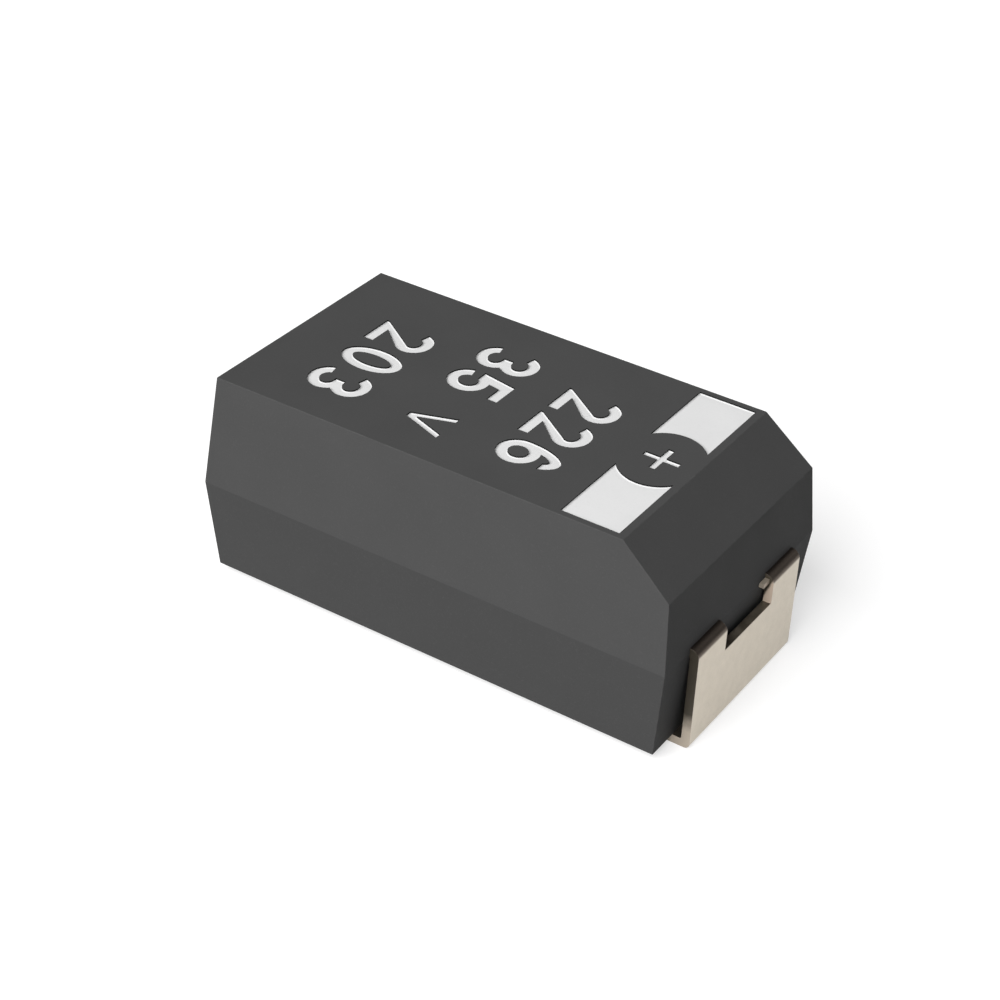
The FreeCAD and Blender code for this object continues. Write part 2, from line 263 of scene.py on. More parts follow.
def tin_plate(strip_top):
    """Matte tin over rolled alloy. The bare alloy shows brown where the strip was sheared. The top bend is
    coloured dark as a painted reflection, and the sheared faces dark above a set height as painted shade.
    """
    material, tree, shader = new_material("tin plate")
    place = millimetre_coordinates(tree)
    mottle = noise(tree, place, 7, 5, 0.6)
    grain = noise(tree, place, 60, 3, 0.6)
    body = tint(tree, between(tree, mottle, 0, 1), *TIN_TONES)
    rubbed = mixed(tree, edge_mask(tree), body, TIN_RUBBED_TONE)
    level = node(tree, "ShaderNodeSeparateXYZ", {"Vector": place}).outputs["Z"]
    ragged = node(tree, "ShaderNodeMath", {0: level, 1: between(tree, mottle, -0.03, 0.03)}).outputs[0]
    # Painted dark reflection: the top bend is coloured dark brown from its top down.
    bend = between(tree, level, 0, 1, strip_top - TOP_BEND, strip_top - BEND_REFLECTION_DEPTH * TOP_BEND)
    with_bend_reflection = mixed(tree, bend, rubbed, BEND_REFLECTION_TONE)
    sheared = node(tree, "ShaderNodeAttribute", attribute_name="sheared").outputs["Fac"]
    warm = mixed(tree, sheared, with_bend_reflection, SHEARED_TONE)
    punched = node(tree, "ShaderNodeAttribute", attribute_name="punched").outputs["Fac"]
    pale = mixed(tree, punched, warm, PUNCHED_TONE)
    # Painted shade: the sheared faces are coloured dark above a set height with a ragged edge; on the
    # cut-out's walls that edge slopes like a cast shadow.
    start = node(tree, "ShaderNodeAttribute", attribute_name="shade_start").outputs["Fac"]
    above = node(tree, "ShaderNodeMath", {0: ragged, 1: start}, operation="SUBTRACT").outputs[0]
    fade = between(tree, punched, SHADE_FADE, PUNCHED_SHADE_FADE, 0, 1)
    shade_ramp = node(tree, "ShaderNodeMapRange", {"Value": above, "From Min": 0.0, "From Max": fade})
    both = {0: shade_ramp.outputs["Result"], 1: sheared}
    painted_shade = node(tree, "ShaderNodeMath", both, operation="MULTIPLY").outputs[0]
    color = mixed(tree, painted_shade, pale, SHEARED_SHADE_TONE)
    metal = {0: between(tree, sheared, 1, SHEARED_METAL, 0, 1), 1: between(tree, punched, 1, 0, 0, 1)}
    metallic = node(tree, "ShaderNodeMath", metal, operation="MULTIPLY").outputs[0]
    tree.links.new(metallic, shader.inputs["Metallic"])
    roughness = between(tree, grain, 0.34, 0.44)
    normal = bump(tree, grain, 0.0006, bump(tree, mottle, 0.001))
    connect(tree, shader, color, roughness, normal)
    return material


def white_marking():
    """White marking: matte, faintly uneven, with fine pits."""
    material, tree, shader = new_material("white marking")
    shader.inputs["Specular IOR Level"].default_value = 0.3
    place = millimetre_coordinates(tree)
    clouds = noise(tree, place, 2.2, 4)
    grain = noise(tree, place, 38, 3, 0.6)
    body = tint(tree, between(tree, clouds, 0, 1), *MARKING_TONES)
    color = mixed(tree, between(tree, grain, 0, 0.2, 0.55, 0.8), body, PIT_TONE)
    roughness = between(tree, grain, 0.55, 0.75)
    connect(tree, shader, color, roughness, bump(tree, grain, 0.0007))
    return material


def grained(name, dark, light, metallic, grains, roughness, relief):
    """A hidden piece's finish: two tones, grain, roughness and relief at the piece's own scale."""
    material, tree, shader = new_material(name)
    shader.inputs["Metallic"].default_value = metallic
    place = millimetre_coordinates(tree)
    grain = noise(tree, place, grains, 4, 0.6)
    clouds = noise(tree, place, grains / 8, 3)
    color = tint(tree, between(tree, clouds, 0, 1), dark, light)
    speckled = node(tree, "ShaderNodeMixRGB", {"Fac": GRAIN_SHARE, "Color1": color}, blend_type="OVERLAY")
    tree.links.new(grain, speckled.inputs["Color2"])
    rough = between(tree, grain, roughness - ROUGHNESS_SPREAD, roughness + ROUGHNESS_SPREAD)
    connect(tree, shader, speckled.outputs["Color"], rough, bump(tree, grain, relief))
    return material


# By node: the finish's name, its dark and light tone, how metallic it is, its grains to the millimetre,
# its roughness and its relief
INNER_FINISHES = {
    "tantalum_pellet": ("sintered tantalum", (0.07, 0.07, 0.08), (0.13, 0.13, 0.14), 0.6, 70, 0.75, 0.008),
    "tantalum_wire": ("tantalum wire", (0.30, 0.30, 0.33), (0.40, 0.40, 0.43), 1.0, 40, 0.35, 0.001),
    "wire_weld": ("weld bead", (0.22, 0.21, 0.22), (0.38, 0.36, 0.36), 1.0, 25, 0.40, 0.004),
    "sealing_washer": ("white fluoropolymer", (0.78, 0.78, 0.76), (0.86, 0.86, 0.85), 0.0, 20, 0.45, 0.002),
    "polymer_layer": ("conductive polymer", (0.008, 0.01, 0.028), (0.014, 0.017, 0.042), 0, 30, 0.4, 0.003),
    "carbon_layer": ("graphite coat", (0.014, 0.014, 0.014), (0.028, 0.028, 0.028), 0.0, 50, 0.65, 0.003),
    "silver_layer": ("silver paint", (0.50, 0.50, 0.48), (0.66, 0.66, 0.64), 0.8, 45, 0.50, 0.003),
    "silver_adhesive": ("silver glue", (0.42, 0.42, 0.40), (0.56, 0.56, 0.54), 0.7, 30, 0.55, 0.006),
}


# Meshes


def new_object(name, mesh):
    made = bpy.data.objects.new(name, mesh)
    bpy.context.scene.collection.objects.link(made)
    return made


def object_from(name, bm):
    mesh = bpy.data.meshes.new(name)
    bm.to_mesh(mesh)
    bm.free()
    return new_object(name, mesh)


def settle(piece):
    """Keeps the piece's present shape as its plain mesh."""
    evaluated = piece.evaluated_get(bpy.context.evaluated_depsgraph_get())
    mesh = bpy.data.meshes.new_from_object(evaluated)
    piece.modifiers.clear()
    piece.data = mesh


def cut(piece, cutter, operation="DIFFERENCE"):
    """Cuts the cutter from the piece, or joins it on. The cutter is used up."""
    boolean = piece.modifiers.new("cut", "BOOLEAN")
    boolean.operation = operation
    boolean.solver = "EXACT"
    boolean.object = cutter
    settle(piece)
    bpy.data.objects.remove(cutter)


def boxes(name, corner_pairs):
    """Boxes between opposite corners, as one object."""
    bm = bmesh.new()
    for low, high in corner_pairs:
        made = bmesh.ops.create_cube(bm, size=1)["verts"]
        low, high = Vector(low), Vector(high)
        for vertex in made:
            share = vertex.co + Vector((0.5, 0.5, 0.5))
            vertex.co = low + Vector(s * d for s, d in zip(share, high - low))
    return object_from(name, bm)


def group_input(tree, name, kind, value=None):
    socket = tree.interface.new_socket(name, in_out="INPUT", socket_type=kind)
    if value is not None:
        socket.default_value = value
    return socket.identifier


def run_tree(piece, tree, values):
    """Runs a geometry tree on the piece, with values by the names of its inputs."""
    modifier = piece.modifiers.new(tree.name, "NODES")
    modifier.node_group = tree
    identifiers = {item.name: item.identifier for item in tree.interface.items_tree if item.in_out == "INPUT"}
    for name, value in values.items():
        modifier[identifiers[name]] = value
    settle(piece)


def prism_nodes(tree, flat, offset):
    """Closed prisms over flat faces, as high as the offset."""
    raised = node(tree, "GeometryNodeExtrudeMesh", {"Mesh": flat, "Offset": offset, "Individual": False})
    raised.inputs["Offset Scale"].default_value = 1.0
    underside = node(tree, "GeometryNodeFlipFaces", {"Mesh": flat}).outputs["Mesh"]
    both = node(tree, "GeometryNodeJoinGeometry", {"Geometry": raised.outputs["Mesh"]})
    tree.links.new(underside, both.inputs["Geometry"])
    merged = node(tree, "GeometryNodeMergeByDistance", {"Geometry": both.outputs[0], "Distance": SEAM})
    return merged.outputs["Geometry"]


def close_tree(tree, geometry, material):
    realized = node(tree, "GeometryNodeRealizeInstances", {"Geometry": geometry}).outputs["Geometry"]
    finished = node(tree, "GeometryNodeSetMaterial", {"Geometry": realized, "Material": material})
    tree.interface.new_socket("Piece", in_out="OUTPUT", socket_type="NodeSocketGeometry")
    node(tree, "NodeGroupOutput", {"Piece": finished.outputs["Geometry"]})
    return tree


def folded_strip_tree():
    """A strip from its side outline: each corner rounded by its own radius, then as wide as the strip."""
    tree = bpy.data.node_groups.new("folded strip", "GeometryNodeTree")
    group_input(tree, "Outline", "NodeSocketGeometry")
    group_input(tree, "Strip width", "NodeSocketFloat")
    group_input(tree, "Bend steps", "NodeSocketInt")
    group_input(tree, "Finish", "NodeSocketMaterial")
    given = node(tree, "NodeGroupInput").outputs
    line = node(tree, "GeometryNodeMeshToCurve", {"Mesh": given["Outline"]}).outputs["Curve"]
    radius = node(tree, "GeometryNodeInputNamedAttribute", {"Name": "rounding"}, data_type="FLOAT")
    bends = {"Curve": line, "Count": given["Bend steps"], "Radius": radius.outputs["Attribute"]}
    rounded = node(tree, "GeometryNodeFilletCurve", bends, mode="POLY").outputs["Curve"]
    side = node(tree, "GeometryNodeFillCurve", {"Curve": rounded}, mode="NGONS").outputs["Mesh"]
    width = node(tree, "ShaderNodeCombineXYZ", {"Z": given["Strip width"]}).outputs["Vector"]
    strip = prism_nodes(tree, side, width)
    half = node(tree, "ShaderNodeMath", {0: given["Strip width"], 1: 0.5}, operation="MULTIPLY").outputs[0]
    shift = node(tree, "ShaderNodeCombineXYZ", {"Y": half}).outputs["Vector"]
    upright = {"Geometry": strip, "Translation": shift, "Rotation": (math.radians(90), 0, 0)}
    turned = node(tree, "GeometryNodeTransform", upright).outputs["Geometry"]
    return close_tree(tree, turned, given["Finish"])


def raised_marks_tree():
    """Marks from their flat strokes: raised to their depth, and overlapping strokes joined."""
    tree = bpy.data.node_groups.new("raised marks", "GeometryNodeTree")
    group_input(tree, "Strokes", "NodeSocketGeometry")
    group_input(tree, "Base level", "NodeSocketFloat")
    group_input(tree, "Depth", "NodeSocketFloat")
    group_input(tree, "Finish", "NodeSocketMaterial")
    given = node(tree, "NodeGroupInput").outputs
    layer = node(tree, "GeometryNodeInputNamedAttribute", {"Name": "layer"}, data_type="FLOAT")
    up = node(tree, "ShaderNodeCombineXYZ", {"Z": layer.outputs["Attribute"]}).outputs["Vector"]
    down = node(tree, "ShaderNodeVectorMath", {0: (0, 0, 0), 1: up}, operation="SUBTRACT").outputs["Vector"]
    apart = node(tree, "GeometryNodeSetPosition", {"Geometry": given["Strokes"], "Offset": up})
    depth = node(tree, "ShaderNodeCombineXYZ", {"Z": given["Depth"]}).outputs["Vector"]
    prisms = prism_nodes(tree, apart.outputs["Geometry"], depth)
    strokes = node(tree, "GeometryNodeSetPosition", {"Geometry": prisms, "Offset": down}).outputs["Geometry"]
    settings = {"operation": "UNION", "solver": "EXACT"}
    joined = node(tree, "GeometryNodeMeshBoolean", {"Self Intersection": True}, **settings)
    tree.links.new(strokes, joined.inputs["Mesh 2"])
    base = node(tree, "ShaderNodeCombineXYZ", {"Z": given["Base level"]}).outputs["Vector"]
    placed = node(tree, "GeometryNodeTransform", {"Geometry": joined.outputs["Mesh"], "Translation": base})
    return close_tree(tree, placed.outputs["Geometry"], given["Finish"])


def round_edges(bm, edges, radius):
    """Rounds edges, and marks their faces for the finish's edge wear."""
    marks = bm.faces.layers.float.new("edge")
    made = bmesh.ops.bevel(
        bm, geom=edges, offset=radius, offset_type="OFFSET", segments=EDGE_STEPS, profile=0.5, affect="EDGES"
    )
    for face in made["faces"]:
        face[marks] = 1.0


def finish_piece(piece, material, replaced, crisp_level=None):
    """Makes a shape a piece of the part: smooth bends, metres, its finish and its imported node's place."""
    bm = bmesh.new()
    bm.from_mesh(piece.data)
    bmesh.ops.remove_doubles(bm, verts=bm.verts, dist=TOUCH)
    loose = [e for e in bm.edges if not e.link_faces]
    bmesh.ops.delete(bm, geom=loose, context="EDGES")
    bmesh.ops.recalc_face_normals(bm, faces=bm.faces)
    for face in bm.faces:
        face.smooth = True
    for edge in bm.edges:
        crisp = crisp_level is not None and all(abs(v.co.z - crisp_level) < TOUCH for v in edge.verts)
        edge.smooth = edge.calc_face_angle() < SMOOTH_LIMIT and not crisp
    bm.to_mesh(piece.data)
    bm.free()
    weighted = piece.modifiers.new("even shading", "WEIGHTED_NORMAL")
    weighted.keep_sharp = True
    settle(piece)
    piece.data.transform(Matrix.Scale(MILLIMETRE, 4))
    piece.data.materials.clear()
    piece.data.materials.append(material)
    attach(piece, "root")
    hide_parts(replaced)


# Terminals


class Strip:
    """Levels and stations of the terminals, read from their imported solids."""

    def __init__(self):
        anode_low, anode_high = box_mm("anode_terminal")
        cathode_high = box_mm("cathode_terminal")[1]
        case_low, case_high = box_mm("case")
        self.width = anode_high.y - anode_low.y
        self.top = anode_high.z
        self.bottom = self.top - STRIP_THICKNESS
        self.middle = self.top - STRIP_THICKNESS / 2
        self.outer = anode_high.x
        self.inner = self.outer - STRIP_THICKNESS
        self.case_end = self.inner - LEG_GAP
        self.foot_end = self.outer - FOOT_LENGTH
        self.tongue_end = anode_low.x
        self.plate_end = cathode_high.x
        self.plate_bottom = case_low.z + PLATE_LEVEL
        self.window_start = self.case_end - WINDOW_DEPTH


def leg_corners(strip, side):
    """The corners that both terminals share, from the top bend to the underside of the strip."""
    return [
        (side * strip.outer, strip.top, TOP_BEND),
        (side * strip.outer, 0, BOTTOM_BEND),
        (side * strip.foot_end, 0, 0),
        (side * strip.foot_end, STRIP_THICKNESS, 0),
        (side * strip.inner, STRIP_THICKNESS, INNER_BEND),
        (side * strip.inner, strip.bottom, INNER_BEND),
    ]


def tongue_corners(strip):
    return [(strip.tongue_end, strip.bottom, 0), (strip.tongue_end, strip.top, 0)]


def riser_corners(strip):
    """The cathode strip inside the case: down behind the pellet, then under it."""
    outer = -strip.case_end + RISER_INSET
    inner = outer + STRIP_THICKNESS
    outer_bend = INNER_BEND + STRIP_THICKNESS
    level = strip.plate_bottom
    return [
        (outer, strip.bottom, INNER_BEND),
        (outer, level, outer_bend),
        (strip.plate_end, level, 0),
        (strip.plate_end, level + STRIP_THICKNESS, 0),
        (inner, level + STRIP_THICKNESS, INNER_BEND),
        (inner, strip.top, outer_bend),
    ]


def outline_object(name, corners):
    """A closed line through the corners, each with its own rounding."""
    count = len(corners)
    mesh = bpy.data.meshes.new(name)
    edges = [(i, (i + 1) % count) for i in range(count)]
    mesh.from_pydata([(x, z, 0) for x, z, rounding in corners], edges, [])
    rounding = mesh.attributes.new("rounding", "FLOAT", "POINT")
    rounding.data.foreach_set("value", [radius for x, z, radius in corners])
    return new_object(name, mesh)


def window_box(strip, side):
    """What is cut from a terminal: from inside the case, over the bend and down the leg."""
    beyond = strip.outer + STRIP_THICKNESS
    low, high = sorted((side * strip.window_start, side * beyond))
    half = CUTOUT_WIDTH / 2
    return (low, -half, CUTOUT_FLOOR), (high, half, strip.top + STRIP_THICKNESS)


def shoulder_boxes(strip):
    """What is cut from the anode strip on both sides of its tongue."""
    start = strip.tongue_end - STRIP_THICKNESS
    end = strip.window_start - BRIDGE_WIDTH
    low, high = strip.bottom - STRIP_THICKNESS, strip.top + STRIP_THICKNESS
    near, far = TONGUE_WIDTH / 2, strip.width
    return [((start, near, low), (end, far, high)), ((start, -far, low), (end, -near, high))]


def stub_box(strip):
    """The strip's small stub in the anode's cut-out, beside its far wall."""
    start = strip.case_end - STUB_ROOT
    end = strip.case_end + STUB_LENGTH
    half = CUTOUT_WIDTH / 2
    return (start, half - STUB_WIDTH, strip.bottom), (end, half + TOUCH, strip.bottom + STUB_HEIGHT)


def wall_shade_start(strip, x):
    """The height where painted shadow starts on the cut-out's side walls: higher towards the leg's outer
    face.
    """
    share = (abs(x) - strip.inner) / STRIP_THICKNESS
    return INNER_SHADE_START + min(max(share, 0), 1) * (OUTER_SHADE_START - INNER_SHADE_START)


def mark_sheared(bm, strip):
    """Marks the sheared faces, and the height where the painted shade on them starts."""
    sheared = bm.faces.layers.float.new("sheared")
    punched = bm.faces.layers.float.new("punched")
    shade_start = bm.loops.layers.float.new("shade_start")
    for face in bm.faces:
        centre = face.calc_center_median()
        side_wall = abs(face.normal.y) > SIDE_FACING
        outer = abs(centre.y) > CUTOUT_WIDTH
        end_wall = abs(abs(centre.x) - strip.foot_end) < TOUCH
        cutout_floor = abs(centre.z - CUTOUT_FLOOR) < TOUCH
        in_cutout = abs(centre.y) < CUTOUT_WIDTH / 2 - TOUCH and abs(centre.x) > strip.window_start + TOUCH
        stub = in_cutout and centre.z > CUTOUT_FLOOR + STRIP_ROUNDING
        face[sheared] = float(side_wall or end_wall or cutout_floor or stub)
        face[punched] = float(side_wall and not outer and not stub)
        for loop in face.loops:
            if stub:
                loop[shade_start] = strip.top
            elif cutout_floor:
                loop[shade_start] = FLOOR_SHADE_START
            elif side_wall:
                loop[shade_start] = LEG_SHADE_START if outer else wall_shade_start(strip, loop.vert.co.x)


def folded_terminal(name, strip, tree, corners, cutouts, additions, material, node_name):
    piece = outline_object(name, corners)
    run_tree(piece, tree, {"Strip width": strip.width, "Bend steps": BEND_STEPS, "Finish": material})
    cut(piece, boxes("cut-outs", cutouts))
    bm = bmesh.new()
    bm.from_mesh(piece.data)
    bmesh.ops.remove_doubles(bm, verts=bm.verts, dist=TOUCH)
    bmesh.ops.dissolve_limit(bm, angle_limit=ONE_FACE, verts=bm.verts, edges=bm.edges)
    stamped = [e for e in bm.edges if e.is_manifold and e.calc_face_angle() > STAMPED_EDGE]
    round_edges(bm, stamped, STRIP_ROUNDING)
    bm.to_mesh(piece.data)
    bm.free()
    if additions:
        cut(piece, boxes("additions", additions), "UNION")
    bm = bmesh.new()
    bm.from_mesh(piece.data)
    mark_sheared(bm, strip)
    bm.to_mesh(piece.data)
    bm.free()
    finish_piece(piece, material, node_name)


def terminals(strip, material):
    tree = folded_strip_tree()
    folded_terminal(
        "anode_strip", strip, tree, leg_corners(strip, 1) + tongue_corners(strip),
        [window_box(strip, 1)] + shoulder_boxes(strip), [stub_box(strip)], material, "anode_terminal",
    )
    folded_terminal(
        "cathode_strip", strip, tree, leg_corners(strip, -1) + riser_corners(strip),
        [window_box(strip, -1)], [], material, "cathode_terminal",
    )


# White marks. A stroke is a list of flat faces that share their common points


def on_ellipse(degrees, centre, half_width, half_height):
    """The point of an ellipse in a direction from its centre."""
    across = math.cos(math.radians(degrees))
    up = math.sin(math.radians(degrees))
    reach = 1 / math.hypot(across / half_width, up / half_height)
    return round(centre[0] + reach * across, 6), round(centre[1] + reach * up, 6)


def bowl(base, height, start, end):
    """A digit's round stroke between two directions."""
    centre = (DIGIT_WIDTH / 2, base + height / 2)
    steps = math.ceil((end - start) / ARC_STEP)
    angles = [start + (end - start) * i / steps for i in range(steps + 1)]
    outer = [on_ellipse(a, centre, DIGIT_WIDTH / 2, height / 2) for a in angles]
    inner = [on_ellipse(a, centre, DIGIT_WIDTH / 2 - DIGIT_STROKE, height / 2 - DIGIT_STROKE) for a in angles]
    return [[inner[i], outer[i], outer[i + 1], inner[i + 1]] for i in range(steps)]


def bar(left, bottom, right, top):
    return [[(left, bottom), (right, bottom), (right, top), (left, top)]]


def bowl_edge(base, height, degrees, inset):
    centre = (DIGIT_WIDTH / 2, base + height / 2)
    return on_ellipse(degrees, centre, DIGIT_WIDTH / 2 - inset, height / 2 - inset)


def digit_zero():
    return [bowl(0, DIGIT_HEIGHT, 0, FULL_TURN)]


def digit_two():
    """A bowl open on the left, a slanting neck and a flat base."""
    base = DIGIT_HEIGHT - SMALL_BOWL
    neck = [
        bowl_edge(base, SMALL_BOWL, TWO_NECK, DIGIT_STROKE),
        (0, NECK_HEEL),
        (0, 0),
        (NECK_FOOT, 0),
        (NECK_FOOT, DIGIT_STROKE),
        bowl_edge(base, SMALL_BOWL, TWO_NECK, 0),
    ]
    return [
        bowl(base, SMALL_BOWL, TWO_NECK, UPPER_LIP),
        [neck],
        bar(NECK_FOOT / 2, 0, DIGIT_WIDTH, DIGIT_STROKE),
    ]


def digit_three():
    upper = DIGIT_HEIGHT - SMALL_BOWL + DIGIT_STROKE
    middle = DIGIT_WIDTH / 2
    return [
        bowl(DIGIT_HEIGHT - upper, upper, -90, UPPER_LIP),
        bowl(0, SMALL_BOWL, LOWER_LIP, 90),
        bar(middle - WAIST_BAR, SMALL_BOWL - DIGIT_STROKE, middle + TOUCH, SMALL_BOWL),
    ]


def digit_five():
    """A flag, a leaning stem and a bowl open on the left."""
    shoulder = bowl_edge(0, LARGE_BOWL, FIVE_SHOULDER, DIGIT_STROKE)
    stem = [
        (STEM_LEAN, DIGIT_HEIGHT),
        (0, shoulder[1]),
        shoulder,
        (STEM_LEAN + DIGIT_STROKE, DIGIT_HEIGHT - DIGIT_STROKE),
        (STEM_LEAN + DIGIT_STROKE, DIGIT_HEIGHT),
    ]
    return [
        bar(STEM_LEAN, DIGIT_HEIGHT - DIGIT_STROKE, FLAG_RIGHT, DIGIT_HEIGHT),
        [stem],
        bowl(0, LARGE_BOWL, LOWER_LIP, FIVE_SHOULDER),
    ]


def lip_direction(base, height, inset):
    """Where the bowl's edge, so far inset, comes down to the level of the six's lip."""
    rise = SIX_LIP - base - height / 2
    half_width, half_height = DIGIT_WIDTH / 2 - inset, height / 2 - inset
    return math.degrees(math.atan2(rise, half_width * math.sqrt(1 - (rise / half_height) ** 2)))


def digit_six():
    """A closed bowl, with an arch from its left side over to a level lip on the right."""
    base = LARGE_BOWL - DIGIT_HEIGHT
    arch_height = 2 * DIGIT_HEIGHT - LARGE_BOWL
    inner_end = lip_direction(base, arch_height, DIGIT_STROKE)
    outer_end = lip_direction(base, arch_height, 0)
    steps = math.ceil((inner_end - outer_end) / ARC_STEP)
    angles = [outer_end + (inner_end - outer_end) * i / steps for i in range(steps + 1)]
    lip = [bowl_edge(base, arch_height, a, 0) for a in angles]
    lip.append(bowl_edge(base, arch_height, inner_end, DIGIT_STROKE))
    arch = [lip] + bowl(base, arch_height, inner_end, FULL_TURN / 2)
    return [bowl(0, LARGE_BOWL, 0, FULL_TURN), arch]


def unit_letter():
    """Two strokes that meet at the base."""
    middle = UNIT_WIDTH / 2
    slanted = UNIT_STROKE * math.hypot(middle, UNIT_HEIGHT) / UNIT_HEIGHT
    left = [
        (0, UNIT_HEIGHT),
        (middle - slanted / 2, 0),
        (middle + slanted / 2, 0),
        (slanted, UNIT_HEIGHT),
    ]
    right = [(UNIT_WIDTH - x, y) for x, y in reversed(left)]
    return [[left], [right]]


def plus_sign(size):
    half, thin = size / 2, PLUS_STROKE / 2
    return [bar(-half, -thin, half, thin), bar(-thin, -half, thin, half)]


DIGITS = {"0": digit_zero, "2": digit_two, "3": digit_three, "5": digit_five, "6": digit_six}


def laid(strokes, base, left):
    """Strokes that were drawn upright, laid on the top with their base line at X = base."""
    return [[[(base + y, left - x) for x, y in face] for face in stroke] for stroke in strokes]


def digit_row(digits, base, left):
    rows = [laid(DIGITS[digit](), base, left - i * DIGIT_PITCH) for i, digit in enumerate(digits)]
    return [stroke for row in rows for stroke in row]


def stripe_fields(low, high):
    """Both halves of the stripe, with an oval gap between them."""
    spread = Vector((STRIPE_SPREAD, STRIPE_SPREAD, 0))
    low, high = low - spread, high + spread
    centre = ((low.x + high.x) / 2, (low.y + high.y) / 2)
    half_length, half_gap = STRIPE_GAP_LENGTH / 2, STRIPE_GAP_WIDTH / 2
    reach = high.x - centre[0]
    slope = math.sqrt(1 - (reach / half_length) ** 2)
    corner = math.degrees(math.atan2(slope * half_gap, reach))
    steps = math.ceil((FULL_TURN / 2 - 2 * corner) / ARC_STEP)
    angles = [corner + (FULL_TURN / 2 - 2 * corner) * i / steps for i in range(steps + 1)]
    arc = [on_ellipse(a, centre, half_length, half_gap) for a in angles]
    far = [(high.x, high.y)] + arc + [(low.x, high.y)]
    near = [(x, 2 * centre[1] - y) for x, y in reversed(far)]
    return [[far], [near]]


def mark_strokes():
    """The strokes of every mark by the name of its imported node."""
    plus_low, plus_high = box_mm("plus_sign")
    plus_centre = (plus_low + plus_high) / 2
    code_low, code_high = box_mm("capacitance_code")
    rating_low = box_mm("rated_voltage")[0]
    lot_low, lot_high = box_mm("lot_number")
    unit = laid(unit_letter(), rating_low.x + UNIT_RISE, rating_low.y + UNIT_WIDTH)
    return {
        "polarity_stripe": stripe_fields(*box_mm("polarity_stripe")),
        "plus_sign": laid(plus_sign(plus_high.x - plus_low.x), plus_centre.x, plus_centre.y),
        "capacitance_code": digit_row("226", code_low.x, code_high.y),
        "rated_voltage": digit_row("35", rating_low.x, code_high.y + RATING_SHIFT) + unit,
        "lot_number": digit_row("203", lot_low.x, lot_high.y),
    }


def strokes_object(name, strokes):
    """Flat strokes, each on its own layer, so that strokes which touch stay apart while they are raised."""
    bm = bmesh.new()
    layers = bm.verts.layers.float.new("layer")
    for number, stroke in enumerate(strokes):
        corners = {}
        for face in stroke:
            for point in face:
                if point not in corners:
                    corners[point] = bm.verts.new((*point, 0))
                    corners[point][layers] = number
            bm.faces.new([corners[point] for point in face])
    bm.normal_update()
    for face in bm.faces:
        if face.normal.z < 0:
            face.normal_flip()
    return object_from(name, bm)


def raise_rim(piece, top):
    """Lets a mark's border climb the recess's walls a little."""
    bm = bmesh.new()
    bm.from_mesh(piece.data)
    bmesh.ops.dissolve_limit(bm, angle_limit=ONE_FACE, verts=bm.verts, edges=bm.edges)
    upper = [f for f in bm.faces if all(v.co.z > top - TOUCH for v in f.verts)]
    for vertex in {v for f in upper for v in f.verts}:
        vertex.co.z += RIM_RISE
    bmesh.ops.inset_region(bm, faces=upper, thickness=RIM_WIDTH, depth=0, use_even_offset=True)
    for vertex in {v for f in upper for v in f.verts}:
        vertex.co.z = top
    bm.to_mesh(piece.data)
    bm.free()


def marks_and_cutters(material):
    """The white marks, and what cuts their recesses into the case's top."""
    tree = raised_marks_tree()
    cutters = []
    for node_name, strokes in mark_strokes().items():
        level = box_mm(node_name)[0].z
        piece = strokes_object(node_name + "_white", strokes)
        run_tree(piece, tree, {"Base level": level, "Depth": MARK_THICKNESS, "Finish": material})
        raise_rim(piece, level + MARK_THICKNESS)
        finish_piece(piece, material, node_name)
        cutter = strokes_object("recess", strokes)
        depth = MARK_THICKNESS + 2 * MARK_RECESS
        run_tree(cutter, tree, {"Base level": level, "Depth": depth, "Finish": material})
        cutters.append(cutter)
    return cutters


# Case


def plain_case(source):
    """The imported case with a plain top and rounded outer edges."""
    recess_floor = recess_level()
    bm = bmesh.new()
    bm.from_mesh(source.data)
    bmesh.ops.scale(bm, vec=Vector((1, 1, 1)) / MILLIMETRE, verts=bm.verts)
    bmesh.ops.remove_doubles(bm, verts=bm.verts, dist=TOUCH)
    upper = [f for f in bm.faces if all(v.co.z > recess_floor for v in f.verts)]
    bmesh.ops.delete(bm, geom=upper, context="FACES")
    rim = [e for e in bm.edges if e.is_boundary]
    bmesh.ops.contextual_create(bm, geom=rim)
    loose = [v for v in bm.verts if not v.link_faces]
    bmesh.ops.delete(bm, geom=loose, context="VERTS")
    bmesh.ops.recalc_face_normals(bm, faces=bm.faces)
    bmesh.ops.dissolve_limit(bm, angle_limit=CASE_ONE_FACE, verts=bm.verts, edges=bm.edges)
    points = [v.co.copy() for v in bm.verts]
    outer = {f for f in bm.faces if all((p - f.verts[0].co).dot(f.normal) < ON_PLANE for p in points)}
    moulded = [e for e in bm.edges if set(e.link_faces) <= outer and e.calc_face_angle() > MOULDED_EDGE]
    round_edges(bm, moulded, CASE_ROUNDING)
    return object_from("moulded_case", bm)


def mark_shaded_recess_walls(piece):
    """Marks the walls of the recesses, which the finish colours near black as painted shade."""
    recess_floor = recess_level()
    bm = bmesh.new()
    bm.from_mesh(piece.data)
    recess = bm.faces.layers.float.new("recess")
    for face in bm.faces:
        levels = [v.co.z for v in face.verts]
        wall = max(levels) - min(levels) > MARK_RECESS / 2
        face[recess] = float(wall and min(levels) > recess_floor)
    bm.to_mesh(piece.data)
    bm.free()


def moulded_case(source, cutters, material, parting_level):
    piece = plain_case(source)
    for cutter in cutters:
        cut(piece, cutter)
    mark_shaded_recess_walls(piece)
    finish_piece(piece, material, "case", parting_level)


# Studio


def facing(azimuth, elevation):
    """The direction from the part towards a point at that azimuth and elevation, in degrees."""
    turn, rise = math.radians(azimuth), math.radians(elevation)
    return Vector((math.sin(turn) * math.cos(rise), -math.cos(turn) * math.cos(rise), math.sin(rise)))


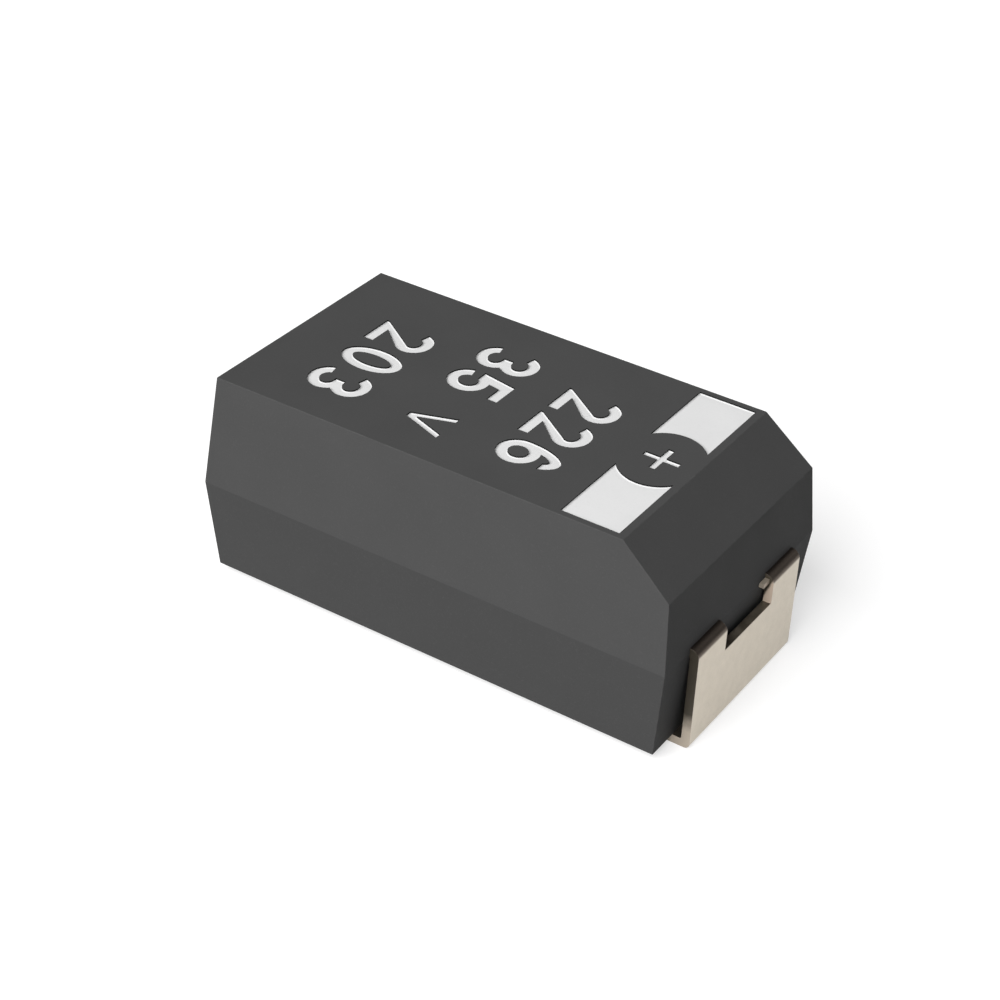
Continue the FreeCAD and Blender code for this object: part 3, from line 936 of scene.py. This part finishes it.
def photo_camera():
    back = facing(CAMERA_AZIMUTH, CAMERA_ELEVATION)
    right = Vector((0, 0, 1)).cross(back).normalized()
    up = back.cross(right)
    roll = math.radians(CAMERA_ROLL)
    turned_right = right * math.cos(roll) + up * math.sin(roll)
    turned_up = up * math.cos(roll) - right * math.sin(roll)
    camera = bpy.data.objects.new("camera", bpy.data.cameras.new("camera"))
    camera.data.sensor_width = SENSOR
    camera.data.lens = FOCAL_SHARE * SENSOR
    camera.data.clip_start = MILLIMETRE
    camera.data.clip_end = FLOOR_SIZE * MILLIMETRE
    place = Vector(CAMERA_PLACE) * MILLIMETRE
    turn = Matrix((turned_right, turned_up, back)).transposed().to_4x4()
    camera.matrix_world = Matrix.Translation(place) @ turn
    bpy.context.scene.collection.objects.link(camera)
    bpy.context.scene.camera = camera


def softbox(name, azimuth, elevation, distance, size, radiance):
    """A square lamp that faces the part, as bright as its radiance over its whole face."""
    lamp = bpy.data.lights.new(name, "AREA")
    lamp.size = size * MILLIMETRE
    lamp.energy = math.pi * lamp.size**2 * radiance
    placed = bpy.data.objects.new(name, lamp)
    towards = facing(azimuth, elevation)
    placed.location = towards * distance * MILLIMETRE
    placed.rotation_euler = towards.to_track_quat("Z", "Y").to_euler()
    bpy.context.scene.collection.objects.link(placed)


def sky():
    """A dim even sky that the camera sees as white."""
    world = bpy.data.worlds.new("studio")
    world.use_nodes = True
    tree = world.node_tree
    tree.nodes.clear()
    seen = node(tree, "ShaderNodeLightPath").outputs["Is Camera Ray"]
    strength = node(tree, "ShaderNodeMapRange", {"Value": seen, "To Min": SKY, "To Max": 1.0})
    shine = {"Color": (1, 1, 1, 1), "Strength": strength.outputs["Result"]}
    light = node(tree, "ShaderNodeBackground", shine)
    node(tree, "ShaderNodeOutputWorld", {"Surface": light.outputs["Background"]})
    bpy.context.scene.world = world


def pale_floor():
    """A pale board under the part, lifted to white for the camera and for reflections."""
    bm = bmesh.new()
    bmesh.ops.create_grid(bm, x_segments=1, y_segments=1, size=FLOOR_SIZE * MILLIMETRE / 2)
    floor = object_from("floor", bm)
    material, tree, shader = new_material("pale floor")
    shader.inputs["Base Color"].default_value = (FLOOR_TONE, FLOOR_TONE, FLOOR_TONE, 1)
    shader.inputs["Roughness"].default_value = 1.0
    shader.inputs["Specular IOR Level"].default_value = 0.0
    path = node(tree, "ShaderNodeLightPath").outputs
    seen = path["Is Camera Ray"]
    for ray in ("Is Glossy Ray", "Is Transmission Ray"):
        seen = node(tree, "ShaderNodeMath", {0: seen, 1: path[ray]}, operation="MAXIMUM").outputs[0]
    lift = node(tree, "ShaderNodeMath", {0: seen, 1: FLOOR_LIFT}, operation="MULTIPLY").outputs[0]
    shader.inputs["Emission Color"].default_value = (1, 1, 1, 1)
    tree.links.new(lift, shader.inputs["Emission Strength"])
    floor.data.materials.append(material)


def studio():
    bpy.context.scene.view_settings.view_transform = "Standard"
    sky()
    pale_floor()
    softbox("key", **KEY)
    softbox("fill", **FILL)
    photo_camera()


def inner_finishes(nodes):
    """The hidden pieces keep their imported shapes, each with its own finish."""
    for name, finish in INNER_FINISHES.items():
        nodes[name].data.materials.clear()
        nodes[name].data.materials.append(grained(*finish))


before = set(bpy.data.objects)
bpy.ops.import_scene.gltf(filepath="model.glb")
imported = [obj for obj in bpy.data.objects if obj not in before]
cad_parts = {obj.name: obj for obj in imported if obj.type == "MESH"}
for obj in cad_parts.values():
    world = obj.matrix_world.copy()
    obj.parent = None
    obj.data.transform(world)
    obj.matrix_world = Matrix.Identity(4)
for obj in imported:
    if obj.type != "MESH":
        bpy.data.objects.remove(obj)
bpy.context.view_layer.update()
recess_cutters = marks_and_cutters(white_marking())
strip = Strip()
moulded_case(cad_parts["case"], recess_cutters, moulded_epoxy(strip.middle), strip.middle)
terminals(strip, tin_plate(strip.top))
inner_finishes(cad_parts)
studio()
